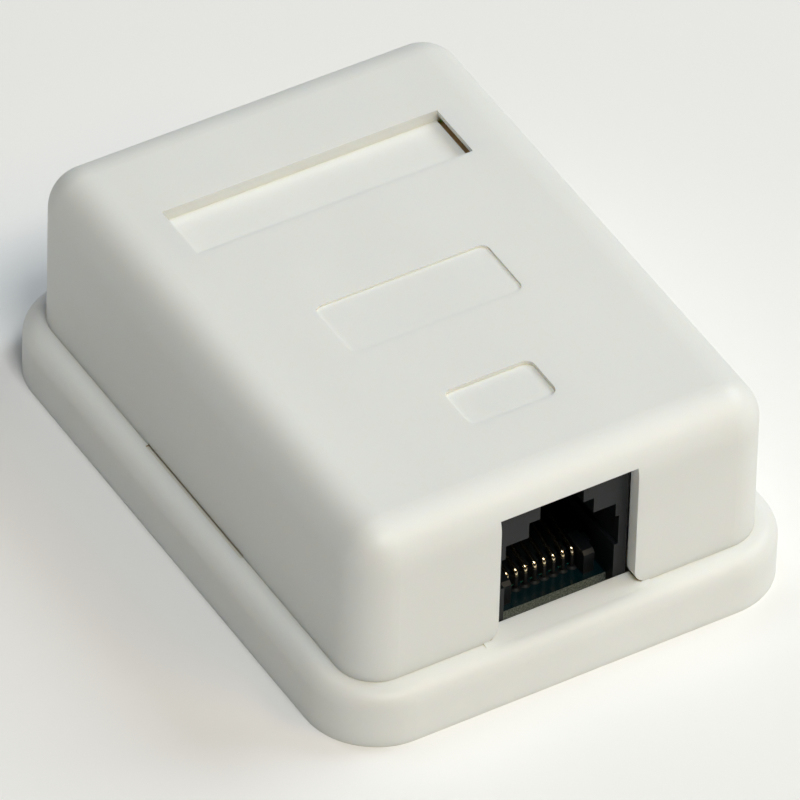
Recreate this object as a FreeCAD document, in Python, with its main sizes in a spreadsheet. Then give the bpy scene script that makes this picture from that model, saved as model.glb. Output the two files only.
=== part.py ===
import FreeCAD, Part
import math
import os
import Sketcher

# Surface mount jack box for one modular socket, in millimetres.
# +X runs along the socket face, the socket looks along -Y, +Z stands off the wall.
# The origin is the middle of the underside.

SIZES = [
    # base tray
    ("base_width", 50.0, "outside width of the base along X"),
    ("base_depth", 66.4, "outside depth of the base along Y"),
    ("base_corner_radius", 7.4, "upright corners of the base"),
    ("base_floor", 1.6, "thickness of the floor"),
    ("base_wall", 1.7, "outer wall beside the channel under the flange"),
    ("flange_height", 6.1, "top of the flange, where the cover stands"),
    ("flange_edge_radius", 1.8, "rounded top edge of the flange"),
    ("rim_wall", 1.3, "thickness of the rim inside the cover"),
    ("rim_rise", 2.4, "rise of the rim above the flange"),
    ("channel_depth", 4.4, "depth of the coring channel from the underside"),
    ("sill_rise", 0.45, "rise of the sill under the socket window"),
    ("sill_reach", 0.7, "run of the sill in front of the cover's face"),
    ("slot_length", 17.8, "prising slot beside the cover's foot"),
    ("slot_centre", -0.7, "middle of the prising slot along Y"),
    ("slot_width", 0.28, "prising slot's width beside the cover's wall"),
    ("slot_depth", 1.9, "depth of the prising slot, down into the channel"),
    ("slot_lift", 0.25, "notch in the cover's foot over the prising slot"),
    ("catch_length", 9.0, "catch beads inside the cover and their windows in the rim"),
    ("catch_play", 0.05, "gap between a bead and the rim it passes"),
    ("catch_height", 1.2, "middle of the beads above the flange"),
    ("catch_width", 0.8, "width of a bead along Z"),
    ("catch_gap", 0.2, "gap round a bead in its window"),
    ("run_out", 1.0, "how far cuts run past open faces"),
    # fixing to the wall and cable entry
    ("wall_hole_radius", 2.0, "clearance holes for the wall screws"),
    ("wall_head_radius", 3.7, "seat of the wall screws' heads"),
    ("wall_seat_depth", 0.8, "depth of that seat"),
    ("wall_hole_side", 11.0, "wall holes in from the base's long sides"),
    ("wall_hole_end", 13.2, "wall holes in from the base's ends"),
    ("cable_hole_width", 14.0, "cable opening in the floor along X"),
    ("cable_hole_length", 9.0, "cable opening in the floor along Y"),
    ("cable_hole_setback", 13.2, "middle of the cable opening from the rear end"),
    ("cable_hole_radius", 3.0, "corners of the cable opening"),
    ("tie_width", 8.0, "cable tie bridge along X"),
    ("tie_setback", 6.8, "cable tie bridge in front of the cable opening"),
    ("tie_thickness", 1.6, "cable tie bridge along Y"),
    ("tie_height", 3.6, "top of the cable tie bridge above the base's floor"),
    ("tie_gap_width", 4.2, "window under the cable tie bridge"),
    ("tie_gap_height", 2.0, "height of that window"),
    ("tie_gap_sill", 0.6, "floor of that window above the base's floor"),
    # cover
    ("flange_side", 2.6, "flange beside the cover's long sides"),
    ("flange_end", 2.5, "flange at the cover's two ends"),
    ("cover_edge_radius", 4.15, "round of the cover's upright and top edges"),
    ("cover_wall", 1.4, "side walls of the cover"),
    ("cover_height", 17.64, "height of the cover's top at its middle, above the flange"),
    ("cover_draft", 0.3, "draft of the side walls in degrees"),
    ("top_slope", 0.87, "fall of the top towards the socket in degrees"),
    ("cover_clearance", 0.2, "gap between the cover and the rim inside it"),
    ("label_width", 30.1, "label recess along X"),
    ("label_length", 6.6, "label recess along Y"),
    ("label_y", 15.4, "middle of the label recess"),
    ("label_depth", 1.3, "depth of the label recess"),
    ("label_floor", 1.2, "thickness under the label recess"),
    ("label_floor_inset", 0.05, "that floor's ends in from the recess's ends"),
    ("label_lip", 0.5, "lip over each end slot of the label recess"),
    ("label_slot_reach", 1.3, "reach of the end slots beyond the recess"),
    ("label_slot_height", 1.3, "height of the end slots"),
    ("plate_width", 18.7, "shallow middle plate along X"),
    ("plate_length", 7.1, "shallow middle plate along Y"),
    ("plate_y", -3.2, "middle of that plate"),
    ("plate_depth", 0.25, "depth of that plate"),
    ("plate_radius", 0.8, "corners of that plate"),
    ("icon_width", 9.5, "front recess along X"),
    ("icon_length", 5.2, "front recess along Y"),
    ("icon_y", -17.9, "middle of the front recess"),
    ("icon_depth", 0.45, "depth of the front recess"),
    ("icon_radius", 0.9, "corners of the front recess"),
    ("window_gap", 0.1, "gap between the socket's sides and its window"),
    ("window_top_gap", 0.14, "gap between the socket's top and its window"),
    ("window_flare", 1.6, "rounded feet beside the window"),
    ("sill_gap", 0.16, "gap between the sill and the window's feet"),
    ("knockout_width", 10.0, "cable knock-out in the rear wall"),
    ("knockout_height", 7.5, "height of the knock-out"),
    ("knockout_groove", 0.8, "width of the score round the knock-out"),
    ("knockout_score", 0.9, "depth of that score"),
    ("knockout_radius", 2.5, "upper corners of the knock-out"),
    ("hold_rib_thickness", 1.2, "ribs that hold the socket down"),
    ("hold_rib_spacing", 8.0, "spacing of those ribs"),
    ("hold_rib_length", 10.0, "length of those ribs"),
    ("hold_rib_setback", 3.0, "front ends of those ribs behind the socket's face"),
    ("hold_gap", 0.25, "gap between those ribs and the socket"),
    # circuit board
    ("board_bottom", 4.6, "underside of the circuit board"),
    ("board_thickness", 1.6, "thickness of the circuit board"),
    ("board_front_gap", 2.8, "board's front edge behind the cover's face"),
    ("board_side", 2.5, "room beside the wide part of the board"),
    ("tongue_margin", 0.3, "narrow part of the board beside the socket"),
    ("board_step_setback", 18.7, "where the board widens, behind the cover's face"),
    ("board_rear_setback", 23.2, "rear edge of the board from the base's rear end"),
    ("board_gap", 0.3, "gap beside the board"),
    ("screw_front_inset", 3.2, "front board screw behind the board's step"),
    ("screw_rear_inset", 3.4, "rear board screw in front of the board's rear edge"),
    ("boss_radius", 2.4, "bosses under the board screws"),
    ("pilot_radius", 1.13, "pilot holes in the bosses"),
    ("pilot_floor", 0.5, "lower end of the pilot holes"),
    ("screw_radius", 1.1, "shank of the board screws"),
    ("screw_length", 5.0, "shank length under the head"),
    ("screw_point", 0.44, "flat end of the shank's cone"),
    ("screw_cone", 1.0, "length of that cone"),
    ("screw_head_radius", 2.1, "head of the board screws"),
    ("screw_head_height", 1.5, "height of that head"),
    ("screw_head_edge", 0.9, "upright edge of that head"),
    ("screw_head_flat", 1.58, "flat top of that head"),
    ("cross_arm", 1.15, "arms of the cross recess"),
    ("cross_half", 0.3, "half the width of those arms"),
    ("cross_depth", 0.9, "depth of the cross recess"),
    ("screw_hole_radius", 1.3, "holes in the board for the screws"),
    ("foot_rib", 1.4, "ribs and rests under the board"),
    ("rest_inset", 1.5, "rests behind the board's front edge"),
    ("fence_length", 4.0, "fences beside the board"),
    ("fence_inset", 2.0, "fences in from the ends of the wide part"),
    ("fence_rise", 0.6, "rise of the fences above the board"),
    # socket
    ("socket_gap", 0.15, "gap between the socket's face and the cover's wall"),
    ("socket_width", 14.6, "outside width of the socket housing"),
    ("socket_length", 16.6, "length of the socket housing"),
    ("socket_roof", 1.2, "solid above the latch way"),
    ("plug_width", 11.9, "plug cavity"),
    ("plug_height", 9.6, "height of the plug cavity above the board"),
    ("plug_relief", 0.4, "relief in each side of the cavity"),
    ("plug_relief_drop", 1.6, "top of that relief below the top of the cavity"),
    ("plug_relief_height", 3.6, "height of that relief"),
    ("latch_wide", 7.0, "latch way for the shoulders of the latch"),
    ("latch_wide_rise", 1.8, "height of that way at the face"),
    ("latch_narrow", 4.7, "latch way for the lever"),
    ("latch_rise", 1.6, "height of the lever's way above that"),
    ("latch_lip", 1.4, "thickness of the face that holds the latch"),
    ("latch_back", 2.0, "solid between the latch's room and the rear wall"),
    ("housing_back", 1.2, "rear wall of the housing"),
    ("leg_drop", 1.4, "front legs of the housing below the board's top"),
    ("leg_gap", 0.1, "gap between those legs and the board's front edge"),
    ("peg_radius", 0.6, "locating pegs of the housing"),
    ("peg_hole_radius", 0.68, "holes for those pegs"),
    ("peg_setback", 16.1, "pegs behind the cover's face"),
    ("peg_inset", 0.7, "pegs in from the housing's sides"),
    ("peg_length", 1.5, "length of the pegs"),
    # contacts and their carrier
    ("contact_pitch", 1.016, "spacing of the contact wires"),
    ("contact_width", 0.42, "width of a contact wire"),
    ("contact_thickness", 0.34, "thickness of a contact wire"),
    ("contact_setback", 4.9, "upright legs of the contacts behind the cover's face"),
    ("contact_bend", 2.15, "height of the bend above the board"),
    ("contact_rise", 0.25, "rise of the spring for each millimetre to the rear"),
    ("contact_reach", 9.7, "free ends of the springs behind the legs"),
    ("contact_tail", 0.8, "solder tails below the board"),
    ("contact_hole", 0.66, "square holes for the contacts in the board"),
    ("contact_bend_radius", 0.7, "outer radius of the bend"),
    ("carrier_slab", 0.9, "slab of the carrier on the board"),
    ("carrier_bar_gap", 0.43, "carrier's bar behind the contact legs"),
    ("carrier_bar_length", 1.1, "length of the bar along Y"),
    ("carrier_bar_height", 2.0, "top of the bar above the board"),
    ("carrier_groove", 0.66, "width of the guide grooves"),
    ("carrier_groove_floor", 1.3, "floor of the grooves above the board"),
    ("carrier_groove_height", 2.0, "height cleared above that floor"),
    ("carrier_cheek", 2.0, "cheeks in front of the bar's ends"),
    ("carrier_cheek_height", 2.65, "top of the cheeks above the board"),
    ("carrier_cheek_width", 1.15, "width of a cheek"),
    ("carrier_cheek_gap", 0.18, "gap between a cheek and the contact beside it"),
    ("carrier_cheek_bevel", 0.35, "bevel along the top of a cheek's face"),
    ("carrier_rear_reach", 8.8, "face of the rear guide block behind the legs"),
    ("carrier_rear_height", 7.2, "top of the rear guide block above the board"),
    ("carrier_slot_depth", 1.6, "depth of the rear guide slots"),
    ("carrier_slot_floor", 2.4, "floor of the rear guide slots above the board"),
    ("carrier_slot_height", 3.6, "height of the rear guide slots"),
    ("carrier_fit", 0.1, "gap between the carrier and the housing"),
    # punch-down blocks
    ("block_inset", 5.0, "middle of a punch-down block in from the board's side"),
    ("block_width", 6.2, "width of a block along X"),
    ("block_pitch", 3.7, "spacing of the wire slots"),
    ("block_slot", 1.1, "width of a wire slot"),
    ("block_base", 3.0, "solid foot of a block"),
    ("block_height", 9.2, "height of a block"),
    ("block_point", 1.5, "pointed tips of the block's fins"),
    ("block_end", 1.5, "end fins beyond the last slot"),
    ("fork_groove", 0.5, "grooves for the metal forks"),
    ("fork_thickness", 0.4, "thickness of a fork"),
    ("fork_width", 2.5, "width of a fork"),
    ("fork_slit", 0.3, "slit between the tines"),
    ("fork_height", 7.2, "top of the fork above the board"),
    ("fork_root", 1.6, "solid root of the fork"),
    ("fork_lead", 0.3, "lead-in between the tips of the tines"),
    ("fork_tail_width", 0.8, "solder tail of the fork"),
    ("fork_fit", 0.1, "gap round a fork in its block"),
    ("fork_hole", 1.0, "square holes for the forks in the board"),
]

doc = FreeCAD.newDocument("SurfaceMountJackBox")
sheet = doc.addObject("Spreadsheet::Sheet", "Sizes")
for row, (name, size, meaning) in enumerate(SIZES, start=1):
    sheet.set("A%d" % row, name)
    sheet.set("B%d" % row, str(size))
    sheet.set("C%d" % row, meaning)
    sheet.setAlias("B%d" % row, name)
doc.recompute()

reader = doc.addObject("App::FeaturePython", "Reader")


def read(expression):
    """The number that an expression over the sheet has."""
    return float(reader.evalExpression(str(expression)))


def s(name):
    """An expression for one value of the sheet."""
    return "Sizes.%s" % name


# Places that several pieces share, each worked out from the sheet.
COVER_WIDTH = "(Sizes.base_width - 2 * Sizes.flange_side)"
COVER_DEPTH = "(Sizes.base_depth - 2 * Sizes.flange_end)"
COVER_FRONT = "(-%s / 2)" % COVER_DEPTH
CORE_WIDTH = "(%s - 2 * Sizes.cover_wall)" % COVER_WIDTH
CORE_DEPTH = "(%s - 2 * Sizes.cover_wall)" % COVER_DEPTH
COVER_TOP = "(Sizes.flange_height + Sizes.cover_height)"
RIM_WIDTH = "(%s - 2 * Sizes.cover_clearance)" % CORE_WIDTH
RIM_DEPTH = "(%s - 2 * Sizes.cover_clearance)" % CORE_DEPTH
RIM_TOP = "(Sizes.flange_height + Sizes.rim_rise)"
RIM_RADIUS = "(Sizes.cover_edge_radius - Sizes.cover_wall - Sizes.cover_clearance)"
CAVITY_WIDTH = "(%s - 2 * Sizes.rim_wall)" % RIM_WIDTH
CAVITY_DEPTH = "(%s - 2 * Sizes.rim_wall)" % RIM_DEPTH
BOARD_TOP = "(Sizes.board_bottom + Sizes.board_thickness)"
BOARD_WIDTH = "(%s - 2 * Sizes.board_side)" % CAVITY_WIDTH
BOARD_TONGUE = "(Sizes.socket_width + 2 * Sizes.tongue_margin)"
BOARD_FRONT = "(%s + Sizes.board_front_gap)" % COVER_FRONT
BOARD_STEP = "(%s + Sizes.board_step_setback)" % COVER_FRONT
BOARD_REAR = "(Sizes.base_depth / 2 - Sizes.board_rear_setback)"
SCREW_FRONT = "(%s + Sizes.screw_front_inset)" % BOARD_STEP
SCREW_REAR = "(%s - Sizes.screw_rear_inset)" % BOARD_REAR
BLOCK_X = "(%s / 2 - Sizes.block_inset)" % BOARD_WIDTH
BLOCK_Y = "((%s + %s) / 2)" % (BOARD_STEP, BOARD_REAR)
SOCKET_FRONT = "(%s + Sizes.cover_wall + Sizes.socket_gap)" % COVER_FRONT
SOCKET_REAR = "(%s + Sizes.socket_length)" % SOCKET_FRONT
PEG_X = "(Sizes.socket_width / 2 - Sizes.peg_inset)"
PEG_Y = "(%s + Sizes.peg_setback)" % COVER_FRONT
CABLE_Y = "(Sizes.base_depth / 2 - Sizes.cable_hole_setback)"
TIE_Y = "(%s - Sizes.tie_setback)" % CABLE_Y
PLUG_TOP = "(%s + Sizes.plug_height)" % BOARD_TOP
RELIEF_TOP = "(%s - Sizes.plug_relief_drop)" % PLUG_TOP
RELIEF_BOTTOM = "(%s - Sizes.plug_relief_height)" % RELIEF_TOP
LATCH_STEP = "(%s + Sizes.latch_wide_rise)" % PLUG_TOP
LATCH_TOP = "(%s + Sizes.latch_rise)" % LATCH_STEP
SOCKET_TOP = "(%s + Sizes.socket_roof)" % LATCH_TOP
WINDOW_WIDTH = "(Sizes.socket_width + 2 * Sizes.window_gap)"
WINDOW_TOP = "(%s + Sizes.window_top_gap)" % SOCKET_TOP
CONTACT_Y = "(%s + Sizes.contact_setback)" % COVER_FRONT
BEND_Z = "(%s + Sizes.contact_bend)" % BOARD_TOP
BAR_FRONT = "(%s + Sizes.contact_thickness / 2 + Sizes.carrier_bar_gap)" % CONTACT_Y
CARRIER_WIDTH = "(Sizes.plug_width - 2 * Sizes.carrier_fit)"
CATCH_Z = "(Sizes.flange_height + Sizes.catch_height)"
SLOT_START = "Sizes.slot_centre - Sizes.slot_length / 2"
SLOT_END = "Sizes.slot_centre + Sizes.slot_length / 2"


def plane_of(body, role):
    """One of a body's own origin planes."""
    return [item for item in body.Origin.OriginFeatures if item.Role == role][0]


def new_body(label):
    body = doc.addObject("PartDesign::Body", label)
    body.Label = label
    return body


def new_sketch(body, role, offset, tilt=None):
    """A sketch on one of the body's origin planes, moved along the plane's normal."""
    sketch = body.newObject("Sketcher::SketchObject", body.Label + "_sketch")
    sketch.AttachmentSupport = [(plane_of(body, role), "")]
    sketch.MapMode = "FlatFace"
    sketch.setExpression("AttachmentOffset.Base.z", str(offset))
    if tilt:
        turn = FreeCAD.Rotation(FreeCAD.Vector(1, 0, 0), read(tilt))
        sketch.AttachmentOffset = FreeCAD.Placement(FreeCAD.Vector(0, 0, read(offset)), turn)
        sketch.setExpression("AttachmentOffset.Rotation.Angle", tilt)
    return sketch


def draw_polygon(sketch, points):
    """A closed outline whose corners are bound to the sheet."""
    corners = [FreeCAD.Vector(read(x), read(y), 0) for x, y in points]
    first = sketch.GeometryCount
    count = len(corners)
    for i in range(count):
        sketch.addGeometry(Part.LineSegment(corners[i], corners[(i + 1) % count]), False)
    for i in range(count):
        following = first + (i + 1) % count
        sketch.addConstraint(Sketcher.Constraint("Coincident", first + i, 2, following, 1))
    for i, (x, y) in enumerate(points):
        for kind, text, number in (("DistanceX", x, corners[i].x), ("DistanceY", y, corners[i].y)):
            if abs(number) < 1e-9 and "Sizes" not in str(text):
                on_axis = -2 if kind == "DistanceX" else -1
                sketch.addConstraint(Sketcher.Constraint("PointOnObject", first + i, 1, on_axis))
                continue
            index = sketch.addConstraint(Sketcher.Constraint(kind, -1, 1, first + i, 1, number))
            sketch.setExpression("Constraints[%d]" % index, str(text))


def draw_circle(sketch, x, y, radius):
    """A circle whose centre and radius are bound to the sheet."""
    centre = FreeCAD.Vector(read(x), read(y), 0)
    normal = FreeCAD.Vector(0, 0, 1)
    ring = sketch.addGeometry(Part.Circle(centre, normal, read(radius)), False)
    index = sketch.addConstraint(Sketcher.Constraint("Radius", ring, read(radius)))
    sketch.setExpression("Constraints[%d]" % index, str(radius))
    for kind, text, number in (("DistanceX", x, centre.x), ("DistanceY", y, centre.y)):
        if abs(number) < 1e-9 and "Sizes" not in str(text):
            on_axis = -2 if kind == "DistanceX" else -1
            sketch.addConstraint(Sketcher.Constraint("PointOnObject", ring, 3, on_axis))
            continue
        index = sketch.addConstraint(Sketcher.Constraint(kind, -1, 1, ring, 3, number))
        sketch.setExpression("Constraints[%d]" % index, str(text))


def draw_rounded(sketch, width, depth, radius, x="0", y="0"):
    """A rectangle about a point with round corners, all bound to the sheet."""
    corners = [(1, -1, -90), (1, 1, 0), (-1, 1, 90), (-1, -1, 180)]
    normal = FreeCAD.Vector(0, 0, 1)
    arcs = []
    for right, up, start in corners:
        centre_x = "%s + %d * (%s / 2 - %s)" % (x, right, width, radius)
        centre_y = "%s + %d * (%s / 2 - %s)" % (y, up, depth, radius)
        centre = FreeCAD.Vector(read(centre_x), read(centre_y), 0)
        begin, end = math.radians(start), math.radians(start + 90)
        arc = Part.ArcOfCircle(Part.Circle(centre, normal, read(radius)), begin, end)
        arcs.append((sketch.addGeometry(arc, False), arc, centre_x, centre_y, centre))
    for number, (index, arc, centre_x, centre_y, centre) in enumerate(arcs):
        following, next_arc = arcs[(number + 1) % 4][:2]
        line = sketch.addGeometry(Part.LineSegment(arc.EndPoint, next_arc.StartPoint), False)
        sketch.addConstraint(Sketcher.Constraint("Tangent", index, 2, line, 1))
        sketch.addConstraint(Sketcher.Constraint("Tangent", line, 2, following, 1))
        for kind, text, size in (("DistanceX", centre_x, centre.x), ("DistanceY", centre_y, centre.y)):
            bound = sketch.addConstraint(Sketcher.Constraint(kind, -1, 1, index, 3, size))
            sketch.setExpression("Constraints[%d]" % bound, text)
        bound = sketch.addConstraint(Sketcher.Constraint("Radius", index, read(radius)))
        sketch.setExpression("Constraints[%d]" % bound, str(radius))


def draw(sketch, outlines):
    for outline in outlines:
        if outline[0] == "circle":
            draw_circle(sketch, *outline[1:])
        elif outline[0] == "rounded":
            draw_rounded(sketch, *outline[1:])
        else:
            draw_polygon(sketch, outline)


def rectangle(x0, y0, x1, y1):
    return [(x0, y0), (x1, y0), (x1, y1), (x0, y1)]


def centred(width, depth, x="0", y="0"):
    """A rectangle of the given size about a point."""
    return rectangle("%s - %s / 2" % (x, width), "%s - %s / 2" % (y, depth),
                     "%s + %s / 2" % (x, width), "%s + %s / 2" % (y, depth))


def add(body, role, offset, outlines, length, backwards=False, both=False):
    """Adds a pad. It grows along the plane's normal unless backwards is set."""
    sketch = new_sketch(body, role, offset)
    draw(sketch, outlines)
    pad = body.newObject("PartDesign::Pad", body.Label + "_pad")
    pad.Profile = sketch
    pad.setExpression("Length", str(length))
    pad.Reversed = backwards
    if both:
        pad.SideType = "Symmetric"
    doc.recompute()
    return pad


def cut(body, role, offset, outlines, length, forwards=False, both=False, tilt=None):
    """Cuts a pocket. It goes against the plane's normal unless forwards is set."""
    before = body.Shape.Volume
    sketch = new_sketch(body, role, offset, tilt)
    draw(sketch, outlines)
    pocket = body.newObject("PartDesign::Pocket", body.Label + "_pocket")
    pocket.Profile = sketch
    pocket.setExpression("Length", str(length))
    pocket.Reversed = forwards
    if both:
        pocket.SideType = "Symmetric"
    doc.recompute()
    if body.Shape.Volume > before - 1e-6:
        raise RuntimeError("a pocket of %s cut nothing" % body.Label)
    return pocket


def pick(shape, test):
    """Names of the edges of a shape that pass a test on their middle and direction."""
    names = []
    for number, edge in enumerate(shape.Edges, start=1):
        if edge.Degenerated:
            continue
        half_way = (edge.FirstParameter + edge.LastParameter) / 2
        if test(edge.valueAt(half_way), edge.tangentAt(half_way)):
            names.append("Edge%d" % number)
    return names


def rounded(body, radius, test):
    """Rounds the edges of the body's tip that pass a test."""
    tip = body.Tip
    fillet = body.newObject("PartDesign::Fillet", body.Label + "_round")
    fillet.Base = (tip, pick(tip.Shape, test))
    fillet.setExpression("Radius", str(radius))
    doc.recompute()
    return fillet


def bevelled(body, size, test):
    """Bevels the edges of the body's tip that pass a test."""
    tip = body.Tip
    chamfer = body.newObject("PartDesign::Chamfer", body.Label + "_bevel")
    chamfer.Base = (tip, pick(tip.Shape, test))
    chamfer.setExpression("Size", str(size))
    doc.recompute()
    return chamfer


def upright(middle, tangent):
    return abs(tangent.z) > 0.99


def make_base():
    body = new_body("base")
    add(body, "XY_Plane", 0, [centred(s("base_width"), s("base_depth"))], s("flange_height"))
    rounded(body, s("base_corner_radius"), upright)
    top = read(s("flange_height"))
    rounded(body, s("flange_edge_radius"), lambda m, t: abs(m.z - top) < 1e-6)

    # rim that the cover slips over, then the hollow inside it
    add(body, "XY_Plane", s("base_floor"), [("rounded", RIM_WIDTH, RIM_DEPTH, RIM_RADIUS)],
        "%s - Sizes.base_floor" % RIM_TOP)
    cut(body, "XY_Plane", s("base_floor"),
        [("rounded", CAVITY_WIDTH, CAVITY_DEPTH, "(%s - Sizes.rim_wall)" % RIM_RADIUS)],
        "%s + Sizes.run_out" % RIM_TOP, forwards=True)

    # coring channel round the underside, between the outer wall and the rim
    outer = ("rounded", "(Sizes.base_width - 2 * Sizes.base_wall)",
             "(Sizes.base_depth - 2 * Sizes.base_wall)",
             "(Sizes.base_corner_radius - Sizes.base_wall)")
    inner = ("rounded", RIM_WIDTH, RIM_DEPTH, RIM_RADIUS)
    cut(body, "XY_Plane", 0, [outer, inner], s("channel_depth"), forwards=True)

    # gap in the rim for the socket, and a notch behind the cover's knock-out
    gap = "(%s + 2 * Sizes.board_gap)" % BOARD_TONGUE
    cut(body, "XY_Plane", s("base_floor"),
        [rectangle("-%s / 2" % gap, SOCKET_FRONT + " - Sizes.socket_gap / 2",
                   "%s / 2" % gap, "-%s / 2 + Sizes.rim_wall" % RIM_DEPTH)],
        "%s + Sizes.run_out" % RIM_TOP, forwards=True)
    cut(body, "XY_Plane", s("flange_height"),
        [rectangle("-Sizes.knockout_width / 2", "%s / 2 - Sizes.rim_wall - Sizes.run_out" % RIM_DEPTH,
                   "Sizes.knockout_width / 2", "%s / 2 + Sizes.cover_clearance / 2" % RIM_DEPTH)],
        "Sizes.rim_rise + Sizes.run_out", forwards=True)
    make_sill(body)

    # prising slots beside the cover's foot
    for side in ("", "-"):
        cut(body, "XY_Plane", s("flange_height"),
            [rectangle("%s%s / 2" % (side, RIM_WIDTH), SLOT_START,
                       "%s(%s / 2 + Sizes.slot_width)" % (side, COVER_WIDTH), SLOT_END)],
            s("slot_depth"))
    # windows in the rim for the cover's catch beads
    cut(body, "YZ_Plane", 0,
        [centred("(Sizes.catch_length + 2 * Sizes.catch_gap)",
                 "(Sizes.catch_width + 2 * Sizes.catch_gap)", s("slot_centre"), CATCH_Z)],
        "%s + Sizes.run_out" % RIM_WIDTH, both=True)

    # rests under the board, bosses for its screws
    rest = "Sizes.board_bottom - Sizes.base_floor"
    ribs = []
    for side in ("", "-"):
        ribs.append(rectangle("%s(%s / 2 - Sizes.foot_rib)" % (side, BOARD_TONGUE),
                              BOARD_FRONT + " + Sizes.rest_inset",
                              "%s(%s / 2 - 2 * Sizes.foot_rib)" % (side, BOARD_TONGUE),
                              BOARD_STEP))
        ribs.append(rectangle("%s(%s / 2 - Sizes.foot_rib)" % (side, BOARD_WIDTH),
                              BOARD_STEP + " + Sizes.foot_rib",
                              "%s%s / 2" % (side, BOARD_WIDTH),
                              BOARD_REAR + " - Sizes.foot_rib"))
    add(body, "XY_Plane", s("base_floor"), ribs, rest)
    screws = (SCREW_FRONT, SCREW_REAR)
    add(body, "XY_Plane", s("base_floor"),
        [("circle", "0", y, s("boss_radius")) for y in screws], rest)
    cut(body, "XY_Plane", s("board_bottom"),
        [("circle", "0", y, s("pilot_radius")) for y in screws],
        "Sizes.board_bottom - Sizes.pilot_floor")

    # fences that keep the board in place
    fences = []
    for side in ("", "-"):
        near = "%s(%s / 2 + Sizes.board_gap)" % (side, BOARD_WIDTH)
        far = "%s(%s / 2 + Sizes.board_gap + Sizes.foot_rib)" % (side, BOARD_WIDTH)
        fences.append(rectangle(near, BOARD_REAR + " - Sizes.fence_inset - Sizes.fence_length",
                                far, BOARD_REAR + " - Sizes.fence_inset"))
        fences.append(rectangle(near, BOARD_STEP + " + Sizes.fence_inset", far,
                                BOARD_STEP + " + Sizes.fence_inset + Sizes.fence_length"))
    add(body, "XY_Plane", s("base_floor"), fences,
        "%s - Sizes.base_floor + Sizes.fence_rise" % BOARD_TOP)

    # cable tie bridge with its window
    sill = "Sizes.base_floor + Sizes.tie_gap_sill"
    add(body, "XZ_Plane", "-(%s - Sizes.tie_thickness / 2)" % TIE_Y,
        [rectangle("-Sizes.tie_width / 2", s("base_floor"), "Sizes.tie_width / 2",
                   "Sizes.base_floor + Sizes.tie_height"),
         rectangle("-Sizes.tie_gap_width / 2", sill, "Sizes.tie_gap_width / 2",
                   sill + " + Sizes.tie_gap_height")],
        s("tie_thickness"), backwards=True)

    # wall screw holes with flat seats, and the cable opening
    wall_x = "(Sizes.base_width / 2 - Sizes.wall_hole_side)"
    wall_y = "(Sizes.base_depth / 2 - Sizes.wall_hole_end)"
    holes = [(x, y) for x in (wall_x, "-" + wall_x) for y in (wall_y, "-" + wall_y)]
    through = "Sizes.base_floor + Sizes.run_out"
    cut(body, "XY_Plane", s("base_floor"),
        [("circle", x, y, s("wall_head_radius")) for x, y in holes], s("wall_seat_depth"))
    cut(body, "XY_Plane", s("base_floor"),
        [("circle", x, y, s("wall_hole_radius")) for x, y in holes], through)
    cut(body, "XY_Plane", s("base_floor"),
        [("rounded", s("cable_hole_width"), s("cable_hole_length"), s("cable_hole_radius"),
          "0", CABLE_Y)], through)
    return body


def make_sill(body):
    """The sill under the socket window. It slopes down to the flange in front."""
    flare = "(%s / 2 + Sizes.window_flare)" % WINDOW_WIDTH
    rear = "(%s - Sizes.socket_gap / 2)" % SOCKET_FRONT
    slope = [("%s - Sizes.sill_reach" % COVER_FRONT, s("flange_height")),
             (rear, s("flange_height")), (rear, "Sizes.flange_height + Sizes.sill_rise")]
    add(body, "YZ_Plane", 0, [slope], "2 * %s" % flare, both=True)
    # its ends stay clear of the round feet beside the window
    ends = [("circle", "%s%s" % (side, flare), "Sizes.flange_height + Sizes.window_flare",
             "Sizes.window_flare + Sizes.sill_gap") for side in ("", "-")]
    cut(body, "XZ_Plane", "-(%s)" % COVER_FRONT, ends, "Sizes.cover_wall + Sizes.socket_gap")


def drafted_block(body, width, depth, drop, edge):
    """A block on the flange with drafted walls, a sloping top and ball corners."""
    top = "(%s - %s)" % (COVER_TOP, drop)
    lean = "tan(Sizes.cover_draft)"
    fall = "tan(Sizes.top_slope)"
    reach = "(%s / 2 - (%s - Sizes.flange_height) * %s)" % (depth, top, lean)
    front = "(-%s / (1 - %s * %s))" % (reach, lean, fall)
    rear = "(%s / (1 + %s * %s))" % (reach, lean, fall)
    side = [("-%s / 2" % depth, s("flange_height")), ("%s / 2" % depth, s("flange_height")),
            (rear, "%s + %s * %s" % (top, rear, fall)),
            (front, "%s + %s * %s" % (top, front, fall))]
    add(body, "YZ_Plane", 0, [side], width, both=True)
    # the draft of the two long sides
    over = "(%s + 2 * Sizes.run_out)" % top
    inset = "(%s / 2 - (%s - Sizes.flange_height) * %s)" % (width, over, lean)
    wedges = [[("%s%s / 2" % (mirror, width), s("flange_height")),
               ("%s(%s / 2 + Sizes.run_out)" % (mirror, width), s("flange_height")),
               ("%s(%s / 2 + Sizes.run_out)" % (mirror, width), over), (mirror + inset, over)]
              for mirror in ("", "-")]
    cut(body, "XZ_Plane", 0, wedges, "%s + 2 * Sizes.run_out" % depth, both=True)
    foot = read(s("flange_height"))
    rounded(body, edge, lambda m, t: m.z > foot + 1e-6)


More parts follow.
